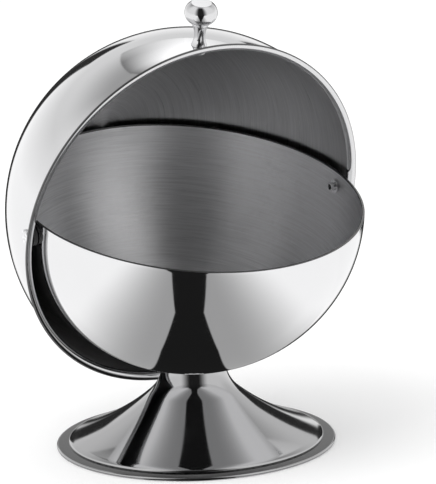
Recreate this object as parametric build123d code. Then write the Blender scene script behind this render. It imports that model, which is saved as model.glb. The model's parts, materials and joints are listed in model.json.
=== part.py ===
"""Roll-top sugar bowl in stainless steel, in millimetres.

A round bowl stands on a hollow trumpet foot. A half-ball lid, a little larger than the bowl, hangs
outside it on two rivets and rolls back over it. The lid is drawn rolled right back, the way it rests.

Frame: the origin is the centre of the foot's underside, +Z up, +X along the hinge line, and the bowl
opens towards -Y. The lid opens towards +Y.
"""

from build123d import *
from math import asin, cos, degrees, radians, sin, sqrt
import os

# Ball and hinge
hinge_height = 85.2
sheet = 1.0
hole_clearance = 0.05

# Bowl: half of a slightly flattened ball, leaning forward
bowl_radius = 62.2
bowl_depth_radius = 59.1
bowl_centre_rise = 1.8
bowl_rim_rise = 5.7
bowl_rim_rounding = 0.3
bowl_lean = 13.4

# Lid: half of a true ball with a small lip turned outward
lid_radius = 65.0
lid_rim_drop = 4.2
lid_lip_radius = 66.9
lid_lip_thickness = 1.1
lid_lip_bend = 0.9
lid_lip_rounding = 0.495
lid_rest_tilt = 17.0

# Knob: stands square on the lid, near the lip and a little to the left of the middle
knob_lean = 15.2
knob_side = -3.0
knob_length = 16.0
knob_top_radius = 3.55
knob_head_radius = 5.75
knob_head_depth = 4.0
knob_collar_radius = 3.0
knob_collar_depth = 7.6
knob_collar_height = 0.6
knob_waist_radius = 1.95
knob_waist_depth = 12.6
knob_base_radius = 2.75
knob_bore_depth = 7.5
knob_seat_gap = 0.03

# Foot: spun trumpet with a flat rim
foot_radius = 50.0
foot_rim_inner_radius = 45.6
foot_rim_thickness = 1.2
foot_rim_rounding = 0.5
foot_step_width = 1.3
foot_step_drop = 0.715
foot_step_rounding = 0.9
foot_neck_radius = 11.3
foot_neck_height = 30.0
foot_neck_bend = 14.0
foot_neck_turn = 49.3
foot_flare_bend = 86.0
foot_cap_underside = 26.4

# Pivot rivets and their washers
rivet_shank_radius = 1.45
rivet_head_radius = 2.6
rivet_head_height = 1.1
rivet_end_radius = 1.62
rivet_bore_radius = 1.0
rivet_bore_depth = 4.0
rivet_mouth_radius = 1.1
rivet_mouth_depth = 0.4
rivet_stand_in = 2.4
spacer_radius = 3.6
spacer_play = 0.2
pivot_washer_radius = 2.5
pivot_washer_thickness = 0.5

# Fasteners of the foot and the knob
foot_screw_radius = 2.0
foot_screw_head_radius = 3.9
foot_screw_head_height = 2.2
foot_screw_slot_width = 0.9
foot_screw_slot_depth = 0.9
foot_screw_end_height = 20.5
foot_seal_radius = 5.2
foot_seal_top = 29.9
foot_washer_radius = 4.5
foot_washer_thickness = 0.8
foot_nut_flats = 7.0
foot_nut_thickness = 3.2
knob_screw_radius = 1.5
knob_screw_head_radius = 2.8
knob_screw_head_height = 1.7
knob_screw_reach = 9.0
knob_washer_radius = 3.3
knob_washer_thickness = 0.5
pan_head_rounding = 0.6

# Further than any piece reaches from its own middle, for cutting tools that run right through
beyond = 80.0

hinge = Location((0, 0, hinge_height))


def spin(profile):
    """Turn a profile drawn on the XZ plane right round the Z axis."""
    return revolve(profile, Axis.Z, 360)


def on_xz(sketch):
    """Stand a flat sketch up, so that its X is the radius and its Y is the height."""
    return Plane.XZ * sketch


def right_half(sketch, top):
    """Keep the part of a sketch at positive X, below a height."""
    window = Pos(beyond / 2, top - beyond / 2) * Rectangle(beyond, beyond)
    return sketch & window


def vertex_near(face, x, y):
    """The corner of a flat face closest to a point."""
    return min(face.vertices(), key=lambda v: (v.X - x) ** 2 + (v.Y - y) ** 2)


def along_x(side, start, shape):
    """Lay a shape that is drawn up the Z axis along the hinge line, going outward on one side."""
    turn = Rot(0, 90, 0) if side > 0 else Rot(0, -90, 0)
    return hinge * turn * Pos(0, 0, start) * shape


def disc(radius, height):
    """A plain cylinder from height 0 up."""
    return extrude(Circle(radius), height)


def ring(outer, inner, height):
    """A plain washer from height 0 up."""
    return extrude(Circle(outer) - Circle(inner), height)


def drill(radius):
    """A cutter for a hole right through a piece, along the Z axis."""
    return Cylinder(radius + hole_clearance, 2 * beyond)


def pan_head(radius, height):
    """A low screw or rivet head: flat below, rounded above."""
    top_edges = disc(radius, height).edges().group_by(Axis.Z)[-1]
    return fillet(top_edges, height * pan_head_rounding)


pivot_hole = hinge * Rot(0, 90, 0) * drill(rivet_shank_radius)
foot_screw_hole = Pos(0, 0, foot_neck_height - beyond) * drill(foot_screw_radius)

# ---- bowl ---------------------------------------------------------------------------------------

to_bowl = hinge * Rot(bowl_lean, 0, 0)
bowl_at_hinge = bowl_radius * sqrt(1 - (bowl_centre_rise / bowl_depth_radius) ** 2)


def bowl_body(inset):
    """The solid egg that the bowl is part of, made smaller all round by an inset."""
    outline = Ellipse(bowl_radius - inset, bowl_depth_radius - inset)
    return spin(on_xz(right_half(Pos(0, bowl_centre_rise) * outline, bowl_rim_rise)))


def make_bowl():
    outer = Ellipse(bowl_radius, bowl_depth_radius)
    inner = Ellipse(bowl_radius - sheet, bowl_depth_radius - sheet)
    wall = right_half(Pos(0, bowl_centre_rise) * (outer - inner), bowl_rim_rise)
    rim_corners = wall.vertices().group_by(Axis.Y)[-1]
    bowl = to_bowl * spin(on_xz(fillet(rim_corners, bowl_rim_rounding)))
    return bowl - pivot_hole - foot_screw_hole


# ---- lid ----------------------------------------------------------------------------------------

# The lid's own axis runs from the hinge through the top of its dome.
to_lid = hinge * Rot(lid_rest_tilt - 90, 0, 0)
to_knob = hinge * Rot(knob_lean, 0, 0) * Rot(0, knob_side, 0)


def make_lid():
    inner_radius = lid_radius - sheet
    lip_back = lid_lip_thickness - lid_rim_drop
    inside = CenterArc((0, 0), inner_radius, 90, -90 - degrees(asin(lid_rim_drop / inner_radius)))
    outside = CenterArc((0, 0), lid_radius, 90, -90 + degrees(asin(lip_back / lid_radius)))
    lip = Polyline(
        outside @ 1, (lid_lip_radius, lip_back), (lid_lip_radius, -lid_rim_drop), inside @ 1
    )
    profile = make_face([inside, outside, lip, Line(inside @ 0, outside @ 0)])
    bends = [
        (inner_radius, -lid_rim_drop, lid_lip_bend),
        (lid_radius, lip_back, lid_lip_bend / 2),
        (lid_lip_radius, lip_back, lid_lip_rounding),
        (lid_lip_radius, -lid_rim_drop, lid_lip_rounding),
    ]
    for x, y, bend in bends:
        profile = fillet([vertex_near(profile, x, y)], bend)
    lid = to_lid * spin(on_xz(profile))
    knob_screw_hole = to_knob * Pos(0, 0, beyond) * drill(knob_screw_radius)
    return lid - pivot_hole - knob_screw_hole


# ---- knob ---------------------------------------------------------------------------------------

knob_seat = lid_radius + knob_seat_gap


def make_knob():
    """A flat-topped ball on a waisted stem, bored from below for its screw."""
    top = knob_seat + knob_length
    head_top = (knob_top_radius, top)
    head_bottom = (knob_collar_radius, top - knob_collar_depth)
    collar_foot = (knob_collar_radius, top - knob_collar_depth - knob_collar_height)
    waist = (knob_waist_radius, top - knob_waist_depth)
    base = (knob_base_radius, knob_seat)
    outline = [
        Line((0, knob_seat), base),
        ThreePointArc(base, waist, collar_foot),
        Line(collar_foot, head_bottom),
        ThreePointArc(head_bottom, (knob_head_radius, top - knob_head_depth), head_top),
        Line(head_top, (0, top)),
        Line((0, top), (0, knob_seat)),
    ]
    knob = spin(on_xz(make_face(outline)))
    bore = Pos(0, 0, knob_seat) * disc(knob_screw_radius + hole_clearance, knob_bore_depth)
    return to_knob * (knob - bore)


knob_washer_seat = sqrt((lid_radius - sheet) ** 2 - knob_washer_radius**2) - knob_seat_gap


def make_knob_washer():
    washer = ring(knob_washer_radius, knob_screw_radius + hole_clearance, knob_washer_thickness)
    return to_knob * Pos(0, 0, knob_washer_seat - knob_washer_thickness) * washer


def make_knob_screw():
    """Pan-head screw that comes up through the lid into the knob."""
    head_seat = knob_washer_seat - knob_washer_thickness
    head = Rot(180, 0, 0) * pan_head(knob_screw_head_radius, knob_screw_head_height)
    shank = disc(knob_screw_radius, knob_screw_reach)
    return to_knob * Pos(0, 0, head_seat) * (head + shank)


# ---- foot ---------------------------------------------------------------------------------------


def flare_curve(inset):
    """The foot's flare as two tangent arcs, moved inward by an inset: steep at the neck, shallow below."""
    neck_centre = (foot_neck_radius + foot_neck_bend, foot_neck_height)
    turn = radians(foot_neck_turn)
    joint = (
        neck_centre[0] - foot_neck_bend * cos(turn),
        neck_centre[1] - foot_neck_bend * sin(turn),
    )
    flare_centre = (
        joint[0] + foot_flare_bend * cos(turn),
        joint[1] + foot_flare_bend * sin(turn),
    )
    end_reach = flare_centre[0] - (foot_rim_inner_radius - foot_step_width)
    end_turn = degrees(asin(sqrt(1 - (end_reach / foot_flare_bend) ** 2)))
    neck = CenterArc(neck_centre, foot_neck_bend + inset, 180, foot_neck_turn)
    flare = CenterArc(
        flare_centre, foot_flare_bend + inset, 180 + foot_neck_turn, end_turn - foot_neck_turn
    )
    return neck, flare


def make_foot():
    neck, flare = flare_curve(0)
    under_neck, under_flare = flare_curve(sheet)
    end, under_end = flare @ 1, under_flare @ 1
    step = (foot_rim_inner_radius, end.Y - foot_step_drop)
    rim_outer_corners = [(foot_radius, foot_rim_thickness), (foot_radius, 0)]
    shoulder = Polyline(
        end, step, (foot_rim_inner_radius, foot_rim_thickness), *rim_outer_corners, (0, 0)
    )
    axis_line = Line((0, 0), (0, foot_neck_height))
    body = make_face([neck, flare, shoulder, axis_line, Line(axis_line @ 1, neck @ 0)])
    body = fillet([vertex_near(body, *step)], foot_step_rounding)
    body = fillet([vertex_near(body, *corner) for corner in rim_outer_corners], foot_rim_rounding)
    below = Polyline(under_end, (under_end.X, 0), (0, 0))
    hollow = make_face(
        [under_neck, under_flare, below, axis_line, Line(axis_line @ 1, under_neck @ 0)]
    )
    foot = spin(on_xz(body - right_half(hollow, foot_cap_underside)))
    return foot - foot_screw_hole - to_bowl * bowl_body(0)


def make_foot_screw():
    shank_length = foot_seal_top - foot_screw_end_height
    head = pan_head(foot_screw_head_radius, foot_screw_head_height)
    shank = Pos(0, 0, -shank_length) * disc(foot_screw_radius, shank_length)
    slot = Pos(0, 0, foot_screw_head_height) * Box(
        2 * foot_screw_head_radius, foot_screw_slot_width, 2 * foot_screw_slot_depth
    )
    return Pos(0, 0, foot_seal_top) * (head + shank - slot)


def make_foot_seal():
    """Soft washer under the screw's head, pressed to the bowl's curved floor."""
    height = foot_seal_top - foot_cap_underside
    blank = ring(foot_seal_radius, foot_screw_radius + hole_clearance, height)
    return Pos(0, 0, foot_cap_underside) * blank & (to_bowl * bowl_body(sheet))


def make_foot_washer():
    washer = ring(foot_washer_radius, foot_screw_radius + hole_clearance, foot_washer_thickness)
    return Pos(0, 0, foot_cap_underside - foot_washer_thickness) * washer


def make_foot_nut():
    across_corners = foot_nut_flats / sqrt(3)
    nut = extrude(
        RegularPolygon(across_corners, 6) - Circle(foot_screw_radius + hole_clearance),
        foot_nut_thickness,
    )
    top = foot_cap_underside - foot_washer_thickness
    return Pos(0, 0, top - foot_nut_thickness) * nut


# ---- pivots -------------------------------------------------------------------------------------

bowl_wall_inside = bowl_at_hinge - sheet


def make_pivot_rivet(side):
    """Tubular rivet: head outside the lid, shank through lid and bowl, end rolled open in the bowl."""
    inner_end = bowl_wall_inside - rivet_stand_in
    length = lid_radius - inner_end
    roll = rivet_end_radius - rivet_shank_radius
    profile = make_face(
        Polyline(
            (rivet_mouth_radius, 0),
            (rivet_end_radius, 0),
            (rivet_end_radius, rivet_mouth_depth),
            (rivet_shank_radius, rivet_mouth_depth + 2 * roll),
            (rivet_shank_radius, length),
            (0, length),
            (0, rivet_bore_depth),
            (rivet_bore_radius, rivet_bore_depth),
            (rivet_bore_radius, rivet_mouth_depth),
            close=True,
        )
    )
    head = Pos(0, 0, length) * pan_head(rivet_head_radius, rivet_head_height)
    return along_x(side, inner_end, spin(on_xz(profile)) + head)


def make_pivot_spacer(side):
    """Nylon washer that keeps the lid clear of the bowl, fitted to the lid's curved inside."""
    start = bowl_at_hinge + spacer_play
    blank = ring(spacer_radius, rivet_shank_radius + hole_clearance, lid_radius - start)
    return along_x(side, start, blank) & (hinge * Sphere(lid_radius - sheet))


def make_pivot_washer(side):
    """Steel washer on the rivet, just inside the bowl's wall."""
    edge_drop = bowl_wall_inside - sqrt(bowl_wall_inside**2 - pivot_washer_radius**2)
    start = bowl_wall_inside - edge_drop - spacer_play - pivot_washer_thickness
    washer = ring(pivot_washer_radius, rivet_shank_radius + hole_clearance, pivot_washer_thickness)
    return along_x(side, start, washer)


# ---- write every piece --------------------------------------------------------------------------

pieces = {
    "bowl": make_bowl(),
    "foot": make_foot(),
    "foot_screw": make_foot_screw(),
    "foot_seal": make_foot_seal(),
    "foot_washer": make_foot_washer(),
    "foot_nut": make_foot_nut(),
    "lid": make_lid(),
    "knob": make_knob(),
    "knob_washer": make_knob_washer(),
    "knob_screw": make_knob_screw(),
}
for side, name in ((-1, "left"), (1, "right")):
    pieces[f"pivot_rivet_{name}"] = make_pivot_rivet(side)
    pieces[f"pivot_spacer_{name}"] = make_pivot_spacer(side)
    pieces[f"pivot_washer_{name}"] = make_pivot_washer(side)

os.makedirs("parts", exist_ok=True)
for name, piece in pieces.items():
    export_step(piece, f"parts/{name}.step")
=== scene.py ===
"""Looks of the roll-top sugar bowl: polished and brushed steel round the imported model, in metres."""

import json
from math import asin, atan2, cos, pi, radians, sin, sqrt, tan

import bpy
from mathutils import Matrix, Vector


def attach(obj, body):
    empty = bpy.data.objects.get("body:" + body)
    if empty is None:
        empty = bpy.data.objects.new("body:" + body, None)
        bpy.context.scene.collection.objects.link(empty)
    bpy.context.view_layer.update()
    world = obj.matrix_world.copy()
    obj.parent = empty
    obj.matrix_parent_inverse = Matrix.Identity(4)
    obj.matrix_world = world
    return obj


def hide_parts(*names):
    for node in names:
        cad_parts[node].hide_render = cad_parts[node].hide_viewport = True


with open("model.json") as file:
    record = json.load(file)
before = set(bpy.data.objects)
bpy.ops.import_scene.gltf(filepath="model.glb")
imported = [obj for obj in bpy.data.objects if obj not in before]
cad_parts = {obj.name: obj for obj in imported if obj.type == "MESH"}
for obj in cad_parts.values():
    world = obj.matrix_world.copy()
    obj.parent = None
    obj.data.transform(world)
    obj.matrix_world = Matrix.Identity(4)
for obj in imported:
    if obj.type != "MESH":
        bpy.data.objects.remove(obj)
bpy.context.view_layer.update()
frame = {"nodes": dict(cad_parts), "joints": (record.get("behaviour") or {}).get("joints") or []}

MM = 0.001
HINGE = Vector(frame["joints"][0]["pos_m"])

# ---- sizes in millimetres ------------------------------------------------------------------------
# They are the CAD's own, apart from LID_LIP_FLARE, KNOB_TOP_ROUNDING and FOOT_TOP_SUNK.

HINGE_HEIGHT = HINGE.z / MM
SHEET = 1.0
HOLE_CLEARANCE = 0.05

BOWL_RADIUS = 62.2
BOWL_DEPTH_RADIUS = 59.1
BOWL_CENTRE_RISE = 1.8
BOWL_RIM_RISE = 5.7
BOWL_RIM_ROUNDING = 0.3
BOWL_LEAN = radians(13.4)

LID_RADIUS = 65.0
LID_RIM_DROP = 4.2
LID_LIP_RADIUS = 66.9
LID_LIP_THICKNESS = 1.1
LID_LIP_BEND = 0.9
LID_LIP_FLARE = 1.9  # radius of the bend from the lid's inside out into its lip
LID_LIP_ROUNDING = 0.495
LID_REST_TILT = radians(17.0)

KNOB_LEAN = radians(15.2)
KNOB_SIDE = radians(-3.0)
KNOB_SEAT = LID_RADIUS + 0.03
KNOB_LENGTH = 16.0
KNOB_TOP_RADIUS = 3.55
KNOB_TOP_ROUNDING = 0.3
KNOB_HEAD_RADIUS = 5.75
KNOB_HEAD_DEPTH = 4.0
KNOB_COLLAR_RADIUS = 3.0
KNOB_COLLAR_DEPTH = 7.6
KNOB_COLLAR_HEIGHT = 0.6
KNOB_WAIST_RADIUS = 1.95
KNOB_WAIST_DEPTH = 12.6
KNOB_BASE_RADIUS = 2.75
KNOB_BORE_DEPTH = 7.5

FOOT_RADIUS = 50.0
FOOT_RIM_INNER_RADIUS = 45.6
FOOT_RIM_THICKNESS = 1.2
FOOT_RIM_ROUNDING = 0.5
FOOT_STEP_WIDTH = 1.3
FOOT_STEP_DROP = 0.715
FOOT_STEP_ROUNDING = 0.9
FOOT_NECK_RADIUS = 11.3
FOOT_NECK_HEIGHT = 30.0
FOOT_NECK_BEND = 14.0
FOOT_NECK_TURN = radians(49.3)
FOOT_FLARE_BEND = 86.0
FOOT_CAP_UNDERSIDE = 26.4
FOOT_TOP_SUNK = 0.02  # how far the foot's top reaches into the bowl's skin

RIVET_SHANK_RADIUS = 1.45
FOOT_SCREW_RADIUS = 2.0
KNOB_SCREW_RADIUS = 1.5

# Lengths of the round cutters that make the holes, each past the walls that it cuts.
PIVOT_CUT = 200
FOOT_CUT = 50
KNOB_CUT = 80

AROUND = 192  # steps around every turned piece
ALONG = 72  # steps along a half-ball's profile
FLARE_STEPS = (24, 40)  # steps along the foot's steep bend and its shallow one
FOOT_TOP_RINGS = 6
KNOB_HEAD_STEPS = 40
KNOB_STEM_STEPS = 24
HOLE_SIDES = 48
SHARP = radians(35)  # an edge that turns by more than this is shaded as a crease
SAME_POINT = 1e-4  # points closer than this are one point

# ---- outlines ------------------------------------------------------------------------------------


def arc(centre, radii, start, end, steps):
    """Points on an upright ellipse's arc, from one angle to another, as (radius, height)."""
    angles = [start + (end - start) * i / steps for i in range(steps + 1)]
    return [(centre[0] + radii[0] * cos(a), centre[1] + radii[1] * sin(a)) for a in angles]


def arc_through(p, q, r, steps):
    """Points on the circle through three points, from the first to the last."""
    (ax, ay), (bx, by), (cx, cy) = p, q, r
    twice_area = 2 * (ax * (by - cy) + bx * (cy - ay) + cx * (ay - by))
    a2, b2, c2 = ax * ax + ay * ay, bx * bx + by * by, cx * cx + cy * cy
    x = (a2 * (by - cy) + b2 * (cy - ay) + c2 * (ay - by)) / twice_area
    y = (a2 * (cx - bx) + b2 * (ax - cx) + c2 * (bx - ax)) / twice_area
    radius = sqrt((ax - x) ** 2 + (ay - y) ** 2)
    first, middle, last = (atan2(v - y, u - x) for u, v in (p, q, r))
    turn = (last - first) % (2 * pi)
    if (middle - first) % (2 * pi) > turn:
        turn -= 2 * pi
    return arc((x, y), (radius, radius), first, first + turn, steps)


def rounded(corner, before, after, radius, steps=6):
    """Points that round a corner between two nearly straight runs."""
    c, a, b = (Vector((*p, 0)) for p in (corner, before, after))
    u, v = (a - c).normalized(), (b - c).normalized()
    half = u.angle(v) / 2
    centre = c + (u + v).normalized() * radius / sin(half)
    p, q = c + u * radius / tan(half) - centre, c + v * radius / tan(half) - centre
    p, q = p.normalized(), q.normalized()
    spokes = (p.slerp(q, i / steps) * radius for i in range(steps + 1))
    return [tuple((centre + s)[:2]) for s in spokes]


def same(p, q):
    return (Vector(p) - Vector(q)).length < SAME_POINT


def lathe(name, runs, body, place, materials):
    """Turn runs of (points, material index) about the local Z axis into one closed mesh."""
    outline = []
    for points, index in runs:
        for point in points:
            if not outline or not same(point, outline[-1][0]):
                outline.append((point, index))
    if same(outline[0][0], outline[-1][0]):
        outline.pop()
    vertices, rings = [], []
    for (radius, height), _ in outline:
        start = len(vertices)
        if radius == 0:
            rings.append([start] * AROUND)
            vertices.append((0, 0, height * MM))
            continue
        rings.append(range(start, start + AROUND))
        turns = (2 * pi * i / AROUND for i in range(AROUND))
        vertices += [(radius * cos(t) * MM, radius * sin(t) * MM, height * MM) for t in turns]
    faces, indices = [], []
    for k in range(len(rings)):
        lower, upper = rings[k], rings[(k + 1) % len(rings)]
        if lower[0] == lower[1] and upper[0] == upper[1]:
            continue
        for i in range(AROUND):
            j = (i + 1) % AROUND
            corners = (lower[i], lower[j], upper[j], upper[i])
            faces.append(list(dict.fromkeys(corners)))
            indices.append(outline[(k + 1) % len(rings)][1])
    mesh = bpy.data.meshes.new(name)
    mesh.from_pydata(vertices, [], faces)
    mesh.polygons.foreach_set("material_index", indices)
    for material in materials:
        mesh.materials.append(material)
    piece = bpy.data.objects.new(name, mesh)
    bpy.context.scene.collection.objects.link(piece)
    piece.matrix_world = place
    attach(piece, body)
    return piece


def bore(piece, holes):
    """Cut round holes in a piece: each is (radius, place, length), along that place's Z axis."""
    cutters = []
    n = HOLE_SIDES
    for radius, place, length in holes:
        turns = [2 * pi * i / n for i in range(n)]
        circle = [(radius * cos(t) * MM, radius * sin(t) * MM) for t in turns]
        ends = [(x, y, z * MM) for z in (0, length) for x, y in circle]
        sides = [(i, (i + 1) % n, n + (i + 1) % n, n + i) for i in range(n)]
        caps = [tuple(range(n))[::-1], tuple(range(n, 2 * n))]
        mesh = bpy.data.meshes.new("cutter")
        mesh.from_pydata(ends, [], sides + caps)
        cutter = bpy.data.objects.new("cutter", mesh)
        cutter.matrix_world = place
        bpy.context.scene.collection.objects.link(cutter)
        cutters.append(cutter)
        cut = piece.modifiers.new("hole", "BOOLEAN")
        cut.object, cut.operation, cut.solver = cutter, "DIFFERENCE", "EXACT"
    bpy.context.view_layer.update()
    cut_mesh = bpy.data.meshes.new_from_object(
        piece.evaluated_get(bpy.context.evaluated_depsgraph_get())
    )
    piece.modifiers.clear()
    piece.data = cut_mesh
    for cutter in cutters:
        bpy.data.objects.remove(cutter)


def smooth(piece):
    """Shade a piece smooth, with creases only at its sharp corners."""
    mesh = piece.data
    mesh.polygons.foreach_set("use_smooth", [True] * len(mesh.polygons))
    mesh.set_sharp_from_angle(angle=SHARP)


# ---- materials -----------------------------------------------------------------------------------


class Nodes:
    """A material's node tree, with short calls to add and join nodes."""

    def __init__(self, name):
        self.material = bpy.data.materials.new(name)
        self.material.use_nodes = True
        self.tree = self.material.node_tree
        self.shader = self.tree.nodes["Principled BSDF"]

    def add(self, kind, inputs=(), **settings):
        node = self.tree.nodes.new(kind)
        for key, value in settings.items():
            setattr(node, key, value)
        for key, value in dict(inputs).items():
            if isinstance(value, bpy.types.NodeSocket):
                self.tree.links.new(value, node.inputs[key])
            else:
                node.inputs[key].default_value = value
        return node

    def math(self, operation, *values):
        return self.add("ShaderNodeMath", enumerate(values), operation=operation).outputs[0]

    def link(self, output, socket):
        self.tree.links.new(output, self.shader.inputs[socket])

    def place(self):
        return self.add("ShaderNodeTexCoord").outputs["Object"]

    def noise(self, where, detail=3.0):
        node = self.add("ShaderNodeTexNoise", {"Vector": where, "Scale": 1.0, "Detail": detail})
        return node.outputs["Fac"]

    def grain(self, stretch, detail=3.0):
        """Noise at so many waves a metre along each of the piece's own axes."""
        scaled = self.add("ShaderNodeVectorMath", {0: self.place(), 1: stretch}, operation="MULTIPLY")
        return self.noise(scaled.outputs[0], detail)

    def spun_grain(self, around, across, detail=3.0):
        """Noise drawn out round the piece's own axis, as a lathe tool or a brush leaves it."""
        ray = self.add("ShaderNodeVectorMath", {0: self.place()}, operation="NORMALIZE").outputs[0]
        x, y, z = self.add("ShaderNodeSeparateXYZ", {0: ray}).outputs
        out_squared = self.math("ADD", self.math("MULTIPLY", x, x), self.math("MULTIPLY", y, y))
        rise = self.math("ARCTAN2", z, self.math("SQRT", out_squared))
        spot = {
            0: self.math("MULTIPLY", x, around),
            1: self.math("MULTIPLY", y, around),
            2: self.math("MULTIPLY", rise, across),
        }
        return self.noise(self.add("ShaderNodeCombineXYZ", spot).outputs[0], detail)

    def blend(self, first, second, share):
        """Two grains added up, with this share of the first."""
        scaled = self.math("MULTIPLY", first, share), self.math("MULTIPLY", second, 1 - share)
        return self.math("ADD", *scaled)

    def ramp(self, value, low, high, to_low, to_high):
        """Value carried from one range to another, and held at its ends."""
        limits = {"From Min": low, "From Max": high, "To Min": to_low, "To Max": to_high}
        return self.add("ShaderNodeMapRange", {"Value": value, **limits}).outputs[0]

    def shades(self, factor, dark, light):
        """Set the base colour between two shades."""
        mix = self.add("ShaderNodeMix", data_type="RGBA")
        self.tree.links.new(factor, mix.inputs["Factor"])
        mix.inputs["A"].default_value = (*dark, 1)
        mix.inputs["B"].default_value = (*light, 1)
        self.link(mix.outputs["Result"], "Base Color")

    def bump(self, height, strength, distance=0.0001):
        node = self.add(
            "ShaderNodeBump", {"Height": height, "Strength": strength, "Distance": distance}
        )
        self.link(node.outputs["Normal"], "Normal")


def grey(level, cool=1.01):
    """A nearly neutral steel grey, a touch bluer than it is red."""
    return (level, level, level * cool)


def polished_steel(name, tint, roughness):
    """Mirror-polished stainless steel with faint buffing haze and fine hairlines round the piece."""
    n = Nodes(name)
    n.shader.inputs["Metallic"].default_value = 1.0
    haze = n.grain((70, 70, 70))
    hairlines = n.spun_grain(8.0, 700.0)
    mixed = n.blend(haze, hairlines, 0.5)
    n.link(n.ramp(mixed, 0.3, 0.7, roughness * 0.6, roughness * 1.5), "Roughness")
    n.shades(mixed, grey(tint * 0.97), grey(tint * 1.03))
    n.bump(hairlines, 0.01)
    return n.material


def brushed_steel(name, tint, roughness, anisotropy):
    """Steel brushed round and round on the lathe, so highlights spread across the grooves."""
    n = Nodes(name)
    n.shader.inputs["Metallic"].default_value = 1.0
    n.shader.inputs["Anisotropic"].default_value = anisotropy
    fine = n.spun_grain(5.0, 420.0)
    broad = n.spun_grain(2.5, 80.0)
    both = n.blend(fine, broad, 0.6)
    n.shades(n.ramp(both, 0.35, 0.65, 0.0, 1.0), grey(tint * 0.85), grey(tint * 1.12))
    n.link(n.ramp(both, 0.35, 0.65, roughness * 0.85, roughness * 1.2), "Roughness")
    n.bump(fine, 0.15)
    tangent = n.add("ShaderNodeTangent", direction_type="RADIAL", axis="Z")
    n.link(tangent.outputs[0], "Tangent")
    n.shader.inputs["Anisotropic Rotation"].default_value = 0.25
    return n.material


def satin_steel(name, tint, roughness, coarseness=1.0):
    """Steel left as it came from the press, with an even grain: a coarser one is larger and stronger."""
    n = Nodes(name)
    n.shader.inputs["Metallic"].default_value = 1.0
    fine = n.grain((1500 / coarseness,) * 3, 2.0)
    mottle = n.grain((160, 160, 160))
    both = n.blend(fine, mottle, 0.7)
    contrast = 0.2 * coarseness
    dark, light = grey(tint * (1 - contrast)), grey(tint * (1 + contrast))
    n.shades(n.ramp(both, 0.35, 0.65, 0.0, 1.0), dark, light)
    n.link(n.ramp(both, 0.3, 0.7, roughness * 0.8, roughness * 1.25), "Roughness")
    n.bump(fine, 0.3)
    return n.material


def moulded(name, tint, roughness):
    """Nylon or rubber with a faint moulded mottle."""
    n = Nodes(name)
    mottle = n.grain((700, 700, 700))
    n.shades(mottle, [c * 0.88 for c in tint], [min(c * 1.12, 1) for c in tint])
    n.link(n.ramp(mottle, 0.3, 0.7, roughness * 0.85, roughness * 1.15), "Roughness")
    n.bump(mottle, 0.2)
    return n.material


# Each is a name, a tint and a roughness, and for some an anisotropy or a coarseness.
polished = polished_steel("polished_steel", 0.78, 0.05)
polished_foot = polished_steel("polished_foot", 0.5, 0.08)
polished_lip = polished_steel("polished_lip", 0.68, 0.13)
polished_knob = polished_steel("polished_knob", 0.7, 0.07)
# The sheets' cut edges: a dull steel, darkened to near black as painted shade, for the thin dark line
# along the rims.
dull_cut_and_painted_shade = polished_steel("dull_cut_and_painted_shade", 0.14, 0.3)
brushed_bowl = brushed_steel("brushed_bowl", 0.9, 0.42, 0.85)
brushed_lid = brushed_steel("brushed_lid", 0.56, 0.32, 0.9)
satin_rim = satin_steel("satin_rim", 0.085, 0.35, 2.0)
plain_underside = satin_steel("plain_underside", 0.45, 0.3)
fastener = satin_steel("fastener_steel", 0.8, 0.2)
nylon = moulded("black_nylon", (0.03, 0.03, 0.03), 0.45)
rubber = moulded("seal_rubber", (0.035, 0.035, 0.036), 0.6)

# ---- pieces --------------------------------------------------------------------------------------

upright = Matrix.Translation(HINGE)
to_bowl = upright @ Matrix.Rotation(BOWL_LEAN, 4, "X")
to_lid = upright @ Matrix.Rotation(LID_REST_TILT - pi / 2, 4, "X")
to_knob = upright @ Matrix.Rotation(KNOB_LEAN, 4, "X") @ Matrix.Rotation(KNOB_SIDE, 4, "Y")
cut_start = Matrix.Translation((-PIVOT_CUT / 2 * MM, 0, 0))
across = upright @ cut_start @ Matrix.Rotation(pi / 2, 4, "Y")
pivot_hole = (RIVET_SHANK_RADIUS + HOLE_CLEARANCE, across, PIVOT_CUT)


def finish_piece(piece, node):
    smooth(piece)
    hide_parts(node)


def bowl_wall(inset):
    """Half the bowl's section, from the middle of its floor up to its rim."""
    radii = (BOWL_RADIUS - inset, BOWL_DEPTH_RADIUS - inset)
    rim = asin((BOWL_RIM_RISE - BOWL_CENTRE_RISE) / radii[1])
    points = arc((0, BOWL_CENTRE_RISE), radii, -pi / 2, rim, ALONG)
    points[0] = (0, points[0][1])
    return points


def make_bowl():
    """Half-ball of sheet, polished outside and brushed inside, its cut rim dull and darkened by painted
    shade.
    """
    outside, inside = bowl_wall(0), bowl_wall(SHEET)[::-1]
    outer_rim, inner_rim = outside.pop(), inside.pop(0)
    edge = rounded(outer_rim, outside[-1], inner_rim, BOWL_RIM_ROUNDING)
    edge += rounded(inner_rim, outer_rim, inside[0], BOWL_RIM_ROUNDING)
    runs = [(outside + edge[:2], 0), (edge[2:], 2), (inside, 1)]
    bowl = lathe("bowl_shell", runs, "base", to_bowl, [polished, brushed_bowl, dull_cut_and_painted_shade])
    foot_hole = (FOOT_SCREW_RADIUS + HOLE_CLEARANCE, Matrix.Identity(4), FOOT_CUT)
    bore(bowl, [pivot_hole, foot_hole])
    finish_piece(bowl, "bowl")


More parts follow.
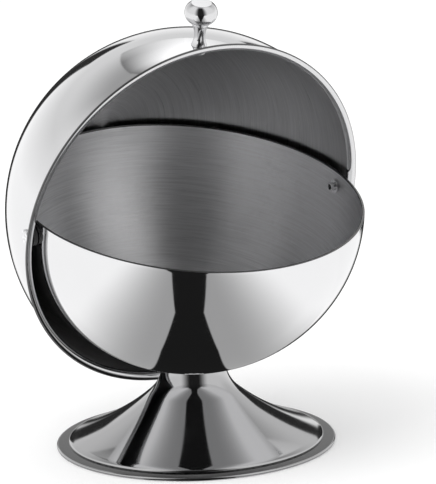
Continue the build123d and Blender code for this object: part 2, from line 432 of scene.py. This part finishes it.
def make_lid():
    """Half-ball of sheet with a small lip turned outward round its rim, its cut edge dull and darkened
    by painted shade.
    """
    inner_radius = LID_RADIUS - SHEET
    lip_back = LID_LIP_THICKNESS - LID_RIM_DROP
    flare_start = -asin((LID_RIM_DROP - LID_LIP_FLARE) / inner_radius)
    inside = arc((0, 0), (inner_radius, inner_radius), pi / 2, flare_start, ALONG)
    outside = arc((0, 0), (LID_RADIUS, LID_RADIUS), asin(lip_back / LID_RADIUS), pi / 2, ALONG)
    inside[0], outside[-1] = (0, inner_radius), (0, LID_RADIUS)
    inner_corner = (sqrt(inner_radius**2 - LID_RIM_DROP**2), -LID_RIM_DROP)
    outer_corner = outside.pop(0)
    front, back = (LID_LIP_RADIUS, -LID_RIM_DROP), (LID_LIP_RADIUS, lip_back)
    face = rounded(inner_corner, inside[-1], front, LID_LIP_FLARE, 10)
    edge = rounded(front, inner_corner, back, LID_LIP_ROUNDING)
    edge += rounded(back, front, outer_corner, LID_LIP_ROUNDING)
    root = rounded(outer_corner, back, outside[0], LID_LIP_BEND / 2)
    runs = [(inside, 1), (face + edge[:2], 2), (edge[2:], 3), (root + outside, 0)]
    finishes = [polished, brushed_lid, polished_lip, dull_cut_and_painted_shade]
    lid = lathe("lid_shell", runs, "lid", to_lid, finishes)
    knob_hole = (KNOB_SCREW_RADIUS + HOLE_CLEARANCE, to_knob, KNOB_CUT)
    bore(lid, [pivot_hole, knob_hole])
    finish_piece(lid, "lid")


def make_knob():
    """Flat-topped ball on a waisted stem, bored from below for its screw."""
    top = KNOB_SEAT + KNOB_LENGTH
    head_top, head_bottom = (KNOB_TOP_RADIUS, top), (KNOB_COLLAR_RADIUS, top - KNOB_COLLAR_DEPTH)
    collar_foot = (KNOB_COLLAR_RADIUS, head_bottom[1] - KNOB_COLLAR_HEIGHT)
    waist, base = (KNOB_WAIST_RADIUS, top - KNOB_WAIST_DEPTH), (KNOB_BASE_RADIUS, KNOB_SEAT)
    widest = (KNOB_HEAD_RADIUS, top - KNOB_HEAD_DEPTH)
    head = arc_through(head_bottom, widest, head_top, KNOB_HEAD_STEPS)
    head.pop()
    bore_radius, bore_top = KNOB_SCREW_RADIUS + HOLE_CLEARANCE, KNOB_SEAT + KNOB_BORE_DEPTH
    stem = [(0, bore_top), (bore_radius, bore_top), (bore_radius, KNOB_SEAT)]
    stem += arc_through(base, waist, collar_foot, KNOB_STEM_STEPS)
    crown = rounded(head_top, head[-1], (0, top), KNOB_TOP_ROUNDING)
    runs = [(stem + head + crown + [(0, top)], 0)]
    knob = lathe("knob_turned", runs, "lid", to_knob, [polished_knob])
    finish_piece(knob, "knob")


def flare(inset):
    """The foot's flare: a steep bend at the neck, then a long shallow one, moved in by an inset."""
    neck = (FOOT_NECK_RADIUS + FOOT_NECK_BEND, FOOT_NECK_HEIGHT)
    along = Vector((cos(FOOT_NECK_TURN), sin(FOOT_NECK_TURN)))
    centre = Vector(neck) + along * (FOOT_FLARE_BEND - FOOT_NECK_BEND)
    end_reach = centre.x - (FOOT_RIM_INNER_RADIUS - FOOT_STEP_WIDTH)
    end_turn = asin(sqrt(1 - (end_reach / FOOT_FLARE_BEND) ** 2))
    bends = (FOOT_NECK_BEND + inset, FOOT_FLARE_BEND + inset)
    steep = arc(neck, (bends[0],) * 2, pi, pi + FOOT_NECK_TURN, FLARE_STEPS[0])
    shallow = arc(centre, (bends[1],) * 2, pi + FOOT_NECK_TURN, pi + end_turn, FLARE_STEPS[1])
    return steep + shallow


def bowl_underside(x, y, sunk):
    """Height, over a point near its middle, of the bowl's outside or a surface sunk into it."""
    wide, deep = (BOWL_RADIUS - sunk) ** 2, (BOWL_DEPTH_RADIUS - sunk) ** 2
    c, s = cos(BOWL_LEAN), sin(BOWL_LEAN)
    # Local y = c*y + s*z and local z = -s*y + c*z - centre rise, put into the bowl's own equation.
    a = s * s / wide + c * c / deep
    b = (c * y * s) / wide + (-s * y - BOWL_CENTRE_RISE) * c / deep
    k = (x * x + (c * y) ** 2) / wide + (s * y + BOWL_CENTRE_RISE) ** 2 / deep - 1
    return HINGE_HEIGHT + (-b - sqrt(b * b - a * k)) / a


def make_foot():
    """Spun trumpet with a flat satin rim, hollow below, its top shaped to the bowl."""
    outer, under = flare(0), flare(SHEET)[::-1]
    outer = [p for p in outer if p[1] < FOOT_CAP_UNDERSIDE + SHEET]
    under = [p for p in under if p[1] < FOOT_CAP_UNDERSIDE]
    step = (FOOT_RIM_INNER_RADIUS, outer[-1][1] - FOOT_STEP_DROP)
    rim_in = (FOOT_RIM_INNER_RADIUS, FOOT_RIM_THICKNESS)
    rim_top, rim_foot = (FOOT_RADIUS, FOOT_RIM_THICKNESS), (FOOT_RADIUS, 0)
    hole = FOOT_SCREW_RADIUS + HOLE_CLEARANCE
    neck_top = (FOOT_NECK_RADIUS, FOOT_NECK_HEIGHT)
    ring_step = (FOOT_NECK_RADIUS - hole) / FOOT_TOP_RINGS
    top = [(hole + ring_step * i, FOOT_NECK_HEIGHT) for i in range(FOOT_TOP_RINGS)]
    bead = rounded(step, outer[-1], rim_in, FOOT_STEP_ROUNDING)
    rim_edge = rounded(rim_top, rim_in, rim_foot, FOOT_RIM_ROUNDING)
    rim_edge += rounded(rim_foot, rim_top, (0, 0), FOOT_RIM_ROUNDING)
    cap_underside = [(under[-1][0], FOOT_CAP_UNDERSIDE), (hole, FOOT_CAP_UNDERSIDE)]
    below = [(under[0][0], 0)] + under + cap_underside
    rim_flat = [rim_in, rim_edge[0]]
    runs = [(top + [neck_top] + outer + bead, 0), (rim_flat, 1), (rim_edge, 0), (below, 2)]
    finishes = [polished_foot, satin_rim, plain_underside]
    foot = lathe("foot_spun", runs, "base", Matrix.Identity(4), finishes)
    for vertex in foot.data.vertices:
        x, y, z = vertex.co / MM
        if abs(z - FOOT_NECK_HEIGHT) < SAME_POINT:
            vertex.co.z = bowl_underside(x, y, FOOT_TOP_SUNK) * MM
    foot.visible_glossy = False  # the bowl and the lid don't show the foot
    finish_piece(foot, "foot")


make_bowl()
make_lid()
make_knob()
make_foot()

cad_materials = {"foot_seal": rubber, "pivot_spacer_left": nylon, "pivot_spacer_right": nylon}
for name, node in frame["nodes"].items():
    node.data.materials.clear()
    node.data.materials.append(cad_materials.get(name, fastener))

# ---- camera --------------------------------------------------------------------------------------

VIEW_AZIMUTH = radians(-30.07)
VIEW_ELEVATION = radians(13.65)
VIEW_ROLL = radians(-1.8)
VIEW_DISTANCE = 1.5
AIM_RIGHT = 0.01038  # how far right of the hinge's middle the camera points, and how far below it
AIM_DOWN = 0.01131
LENS_MM = 315.1


def view_axes():
    """The camera's right, up and forward directions."""
    level = cos(VIEW_ELEVATION)
    forward = Vector((-sin(VIEW_AZIMUTH) * level, cos(VIEW_AZIMUTH) * level, -sin(VIEW_ELEVATION)))
    right = Vector((cos(VIEW_AZIMUTH), sin(VIEW_AZIMUTH), 0))
    up = right.cross(forward)
    c, s = cos(VIEW_ROLL), sin(VIEW_ROLL)
    return c * right + s * up, c * up - s * right, forward


def make_camera():
    right, up, forward = view_axes()
    data = bpy.data.cameras.new("camera")
    data.lens = LENS_MM
    data.clip_start, data.clip_end = 0.1, 20
    camera = bpy.data.objects.new("camera", data)
    aim = HINGE + AIM_RIGHT * right - AIM_DOWN * up
    turn = Matrix((right, up, -forward)).transposed().to_4x4()
    camera.matrix_world = Matrix.Translation(aim - VIEW_DISTANCE * forward) @ turn
    bpy.context.scene.collection.objects.link(camera)
    bpy.context.scene.camera = camera


# ---- floor and light -----------------------------------------------------------------------------
# The studio stands still, and is laid out from the camera's side of the object. Azimuths are in degrees
# from that side, growing to the right, and elevations are in degrees from level. Brightness is 1 at the
# background's white.

HORIZON, WALL_TOP, WALL_FADE = 1.1, 0.78, (0.0, 22.0)
CEILING, CEILING_FADE = 0.4, (26.0, 54.0)
ZENITH, ZENITH_FADE = 0.55, (60.0, 84.0)

SIDE_PANELS = 0.95
SIDE_PANELS_BACK, SIDE_PANELS_FOOT = (125.0, 85.0), (2.0, 12.0)  # where these edges fade in

# The panel overhead, behind the object: its left side is one shade low down and another higher up.
PANEL_MIDDLE, PANEL_RIGHT, PANEL_LEFT = 1.3, 0.75, (0.45, 0.2)
PANEL_LEFT_FADE = (33.0, 41.0)
PANEL_BOTTOM, PANEL_WIDEST = 30.0, 54.0
PANEL_SIDES = (162.0, 143.0)  # how far round its sides are, at its bottom and where it is widest
PANEL_GLOW = 25.0  # how far in from its sides it is brightest
PANEL_SOFT, PANEL_JOIN = 0.5, 5.0  # half widths: its soft edges, and where left and right meet

GAP_DARK, GAP_BOTTOM, GAP_SOFT = 0.03, -16.0, 1.0
GAPS = ((-171, -161, 16.5), (153, 169, 20))  # each one's two sides and top

SPACE = ((0.2, 36, 14.0), (0.02, 22, 7.0))  # round the camera: brightness, half width and softness
BEHIND_DARK, BEHIND_RADIUS = 0.03, (20, 13)  # its outer edge, and where it is darkest

# The floor card's lengths are in metres, measured to the right and towards the camera.
CARD_STRIP, CARD_GREY, CARD_PALE = 0.012, 0.4, 1.12
PALE_START, PALE_FADE, PALE_FADE_SLOPE = 0.025, 0.07, 0.4
STRIP_OFF_CENTRE, STRIP_SOFT = 0.0025, 0.0005
STRIP_HALF_WIDTH = (0.0176, 0.0138)
STRIP_NARROWS = (0.03, 0.088)  # how near its half width goes from one to the other
STRIP_WIDENS = ((0.088, 0.19), (0.2, 0.25))  # from how near, and by how much more a metre


def sideways(right, near, up=0.0):
    """A point given by how far right of the object, and how far towards the camera, it is."""
    across_view = Vector((cos(VIEW_AZIMUTH), sin(VIEW_AZIMUTH), 0))
    towards = Vector((sin(VIEW_AZIMUTH), -cos(VIEW_AZIMUTH), 0))
    return tuple(right * across_view + near * towards + Vector((0, 0, up)))


class Glow(Nodes):
    """A shader tree for surroundings that are only a brightness."""

    def __init__(self, tree):
        self.tree = tree

    def step(self, value, start, end):
        """0 before start, 1 after end, smooth between."""
        limits = {"From Min": start, "From Max": end}
        node = self.add(
            "ShaderNodeMapRange", {"Value": value, **limits}, interpolation_type="SMOOTHSTEP"
        )
        return node.outputs[0]

    def between(self, value, low, high, soft):
        """1 from low to high and 0 outside, with soft edges."""
        rise = self.step(value, low - soft, low + soft)
        return self.math("SUBTRACT", rise, self.step(value, high - soft, high + soft))

    def mix(self, level, other, share):
        """Level where share is 0, other where it is 1."""
        kept = self.math("MULTIPLY", level, self.math("SUBTRACT", 1.0, share))
        return self.math("ADD", kept, self.math("MULTIPLY", other, share))

    def part(self, vector, direction):
        """How much of a vector lies along a direction."""
        node = self.add("ShaderNodeVectorMath", {0: vector, 1: direction}, operation="DOT_PRODUCT")
        return node.outputs["Value"]

    def seen_axes(self, vector):
        """A vector's parts to the right of the view, towards the camera, and up."""
        up = self.add("ShaderNodeSeparateXYZ", {0: vector}).outputs[2]
        return self.part(vector, sideways(1, 0)), self.part(vector, sideways(0, 1)), up


def add_overhead_panel(n, level, azimuth, elevation):
    """A panel behind the object, brightest in the middle, wider higher up and grey at its left side."""
    sides = n.ramp(elevation, PANEL_BOTTOM, PANEL_WIDEST, *PANEL_SIDES)
    inward = n.math("SUBTRACT", n.math("ABSOLUTE", azimuth), sides)
    above = n.step(elevation, PANEL_BOTTOM - PANEL_SOFT, PANEL_BOTTOM + PANEL_SOFT)
    inside = n.math("MULTIPLY", above, n.step(inward, -PANEL_SOFT, PANEL_SOFT))
    left = n.ramp(elevation, *PANEL_LEFT_FADE, *PANEL_LEFT)
    edge = n.mix(left, PANEL_RIGHT, n.step(azimuth, -PANEL_JOIN, PANEL_JOIN))
    panel = n.mix(edge, PANEL_MIDDLE, n.ramp(inward, 0.0, PANEL_GLOW, 0.0, 1.0))
    return n.mix(level, panel, inside)


def add_gaps(n, level, azimuth, elevation):
    """Dark upright gaps between the backdrop and the panels at its sides."""
    for start, end, top in GAPS:
        low = n.between(elevation, GAP_BOTTOM, top, GAP_SOFT)
        gap = n.math("MULTIPLY", low, n.between(azimuth, start, end, GAP_SOFT))
        level = n.mix(level, GAP_DARK, gap)
    return level


def make_world():
    """Pale surroundings, with the big soft panels and the dark gaps between them that steel shows."""
    world = bpy.data.worlds.new("studio")
    world.use_nodes = True
    n = Glow(world.node_tree)
    direction = n.add("ShaderNodeTexCoord").outputs["Generated"]
    right, near, up = n.seen_axes(direction)
    azimuth = n.math("DEGREES", n.math("ARCTAN2", right, near))
    elevation = n.math("DEGREES", n.math("ARCSINE", up))

    level = n.ramp(elevation, *WALL_FADE, HORIZON, WALL_TOP)
    level = n.mix(level, CEILING, n.step(elevation, *CEILING_FADE))
    at_sides = n.step(n.math("ABSOLUTE", azimuth), *SIDE_PANELS_BACK)
    in_front = n.math("MULTIPLY", at_sides, n.step(elevation, *SIDE_PANELS_FOOT))
    level = n.mix(level, SIDE_PANELS, in_front)
    level = add_overhead_panel(n, level, azimuth, elevation)
    level = add_gaps(n, level, azimuth, elevation)
    for shade, half_width, soft in SPACE:
        level = n.mix(level, shade, n.between(azimuth, -half_width, half_width, soft))

    # The dark straight behind the object, which draws a thin line round polished steel.
    outer, inner = (cos(radians(angle)) for angle in BEHIND_RADIUS)
    behind = n.step(n.part(direction, view_axes()[2]), outer, inner)
    level = n.mix(level, BEHIND_DARK, behind)
    # Nothing shows where the panels meet straight above.
    level = n.mix(level, ZENITH, n.step(elevation, *ZENITH_FADE))

    # The background itself is plain white, and so is the light that the floor gets from it.
    ray = n.add("ShaderNodeLightPath").outputs
    plain = n.math("MAXIMUM", ray["Is Camera Ray"], ray["Is Diffuse Ray"])
    level = n.mix(level, 1.0, plain)
    background = n.tree.nodes["Background"]
    n.tree.links.new(level, background.inputs["Strength"])
    background.inputs["Color"].default_value = (1, 1, 1, 1)
    bpy.context.scene.world = world


def flat_shape(name, corners, material):
    """One flat face of the surroundings, which isn't part of the object."""
    mesh = bpy.data.meshes.new(name)
    mesh.from_pydata(corners, [], [tuple(range(len(corners)))])
    mesh.materials.append(material)
    shape = bpy.data.objects.new(name, mesh)
    bpy.context.scene.collection.objects.link(shape)
    return shape


def make_floor():
    """The plain pale floor. Steel shows the floor card in its place."""
    n = Nodes("floor")
    n.shader.inputs["Base Color"].default_value = (0.985, 0.985, 0.985, 1)
    n.shader.inputs["Specular IOR Level"].default_value = 0.0
    half = 4.0
    corners = [(-half, -half, 0), (half, -half, 0), (half, half, 0), (-half, half, 0)]
    floor = flat_shape("floor", corners, n.material)
    floor.visible_glossy = False


def make_floor_card():
    """What steel shows of the floor: pale at both sides, with a dark strip towards the camera."""
    material = bpy.data.materials.new("floor_card")
    material.use_nodes = True
    n = Glow(material.node_tree)
    n.tree.nodes.clear()
    right, near, _ = n.seen_axes(n.place())

    # Grey beside the strip turns pale further out, and more slowly nearer the camera.
    slower = n.math("MULTIPLY", PALE_FADE_SLOPE, n.math("MAXIMUM", near, 0.0))
    outward = n.math("SUBTRACT", n.math("ABSOLUTE", right), PALE_START)
    pale = n.math("DIVIDE", outward, n.math("ADD", PALE_FADE, slower))
    level = n.mix(CARD_GREY, CARD_PALE, n.step(pale, 0.0, 1.0))

    half_width = n.ramp(near, *STRIP_NARROWS, *STRIP_HALF_WIDTH)
    for start, slope in STRIP_WIDENS:
        beyond = n.math("MAXIMUM", n.math("SUBTRACT", near, start), 0.0)
        half_width = n.math("ADD", half_width, n.math("MULTIPLY", beyond, slope))
    off_centre = n.math("ABSOLUTE", n.math("ADD", right, STRIP_OFF_CENTRE))
    outside = n.step(n.math("SUBTRACT", off_centre, half_width), -STRIP_SOFT, STRIP_SOFT)
    level = n.mix(CARD_STRIP, level, outside)

    emission = n.add("ShaderNodeEmission", {"Strength": level})
    output = n.add("ShaderNodeOutputMaterial")
    n.tree.links.new(emission.outputs[0], output.inputs["Surface"])
    half, reach, back, lift = 2.0, 2.0, -0.06, 0.0003
    ends = ((-half, back), (half, back), (half, reach), (-half, reach))
    corners = [sideways(right, near, lift) for right, near in ends]
    card = flat_shape("floor_card", corners, material)
    card.visible_camera = card.visible_diffuse = card.visible_shadow = False


def make_lamp():
    """A large soft lamp above and to the left, which steel doesn't show."""
    softbox = bpy.data.lights.new("softbox", "AREA")
    softbox.shape, softbox.size, softbox.size_y = "RECTANGLE", 1.6, 1.2
    softbox.energy = 11
    lamp = bpy.data.objects.new("softbox", softbox)
    place = Vector(sideways(-0.9, 0.6, 1.6))
    turn = (HINGE - place).to_track_quat("-Z", "Y").to_matrix().to_4x4()
    lamp.matrix_world = Matrix.Translation(place) @ turn
    lamp.visible_glossy = False
    bpy.context.scene.collection.objects.link(lamp)


make_camera()
make_world()
make_floor()
make_floor_card()
make_lamp()
bpy.context.scene.view_settings.view_transform = "Standard"
